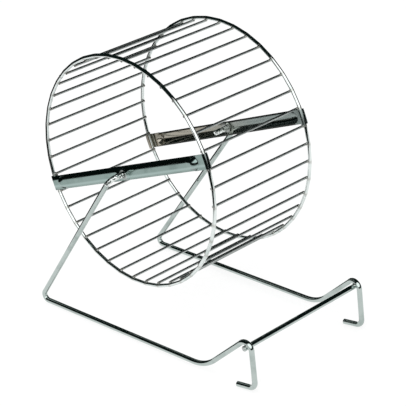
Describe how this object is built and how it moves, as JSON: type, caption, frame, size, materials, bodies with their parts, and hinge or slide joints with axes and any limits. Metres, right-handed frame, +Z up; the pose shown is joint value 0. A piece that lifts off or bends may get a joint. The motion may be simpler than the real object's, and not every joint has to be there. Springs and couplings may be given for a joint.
{
  "type": "rodent exercise wheel",
  "caption": "Open wire running wheel for a small rodent, on a bent wire stand with two hooks.",
  "frame": {"origin": "on the floor, below the middle of the stand's length and width", "axes": "+X runs from the knees of the stand to its hooks, Y runs along the axle with the front face at -Y, +Z up"},
  "size_m": [0.1792, 0.1106, 0.1766],
  "materials": {
    "rim_wire": "bright nickel plated round wire",
    "tread_wire": "bright nickel plated thin wire",
    "pressed_strip": "bright nickel plated pressed sheet",
    "stand_wire": "bright nickel plated bent wire"
  },
  "bodies": {
    "stand": {"front_side_wire": "stand_wire", "back_side_wire": "stand_wire", "cross_bar": "stand_wire"},
    "wheel": {"front_rim": "rim_wire", "back_rim": "rim_wire", "front_axle_strip": "pressed_strip", "back_axle_strip": "pressed_strip", "tread_bar_01": "tread_wire", "tread_bar_02": "tread_wire", "tread_bar_03": "tread_wire", "tread_bar_04": "tread_wire", "tread_bar_05": "tread_wire", "tread_bar_06": "tread_wire", "tread_bar_07": "tread_wire", "tread_bar_08": "tread_wire", "tread_bar_09": "tread_wire", "tread_bar_10": "tread_wire", "tread_bar_11": "tread_wire", "tread_bar_12": "tread_wire", "tread_bar_13": "tread_wire", "tread_bar_14": "tread_wire", "tread_bar_15": "tread_wire", "tread_bar_16": "tread_wire", "tread_bar_17": "tread_wire", "tread_bar_18": "tread_wire", "tread_bar_19": "tread_wire", "tread_bar_20": "tread_wire", "tread_bar_21": "tread_wire", "tread_bar_22": "tread_wire", "tread_bar_23": "tread_wire", "tread_bar_24": "tread_wire", "tread_bar_25": "tread_wire", "tread_bar_26": "tread_wire", "tread_bar_27": "tread_wire", "tread_bar_28": "tread_wire", "tread_bar_29": "tread_wire", "tread_bar_30": "tread_wire", "tread_bar_31": "tread_wire", "tread_bar_32": "tread_wire", "tread_bar_33": "tread_wire", "tread_bar_34": "tread_wire", "tread_bar_35": "tread_wire", "tread_bar_36": "tread_wire", "tread_bar_37": "tread_wire", "tread_bar_38": "tread_wire", "tread_bar_39": "tread_wire", "tread_bar_40": "tread_wire"}
  },
  "joints": [
    {"name": "wheel_spin", "type": "hinge", "parent": "stand", "child": "wheel", "pos_m": [-0.01353, 0, 0.10552], "axis": [0, 1, 0], "continuous": true}
  ]
}
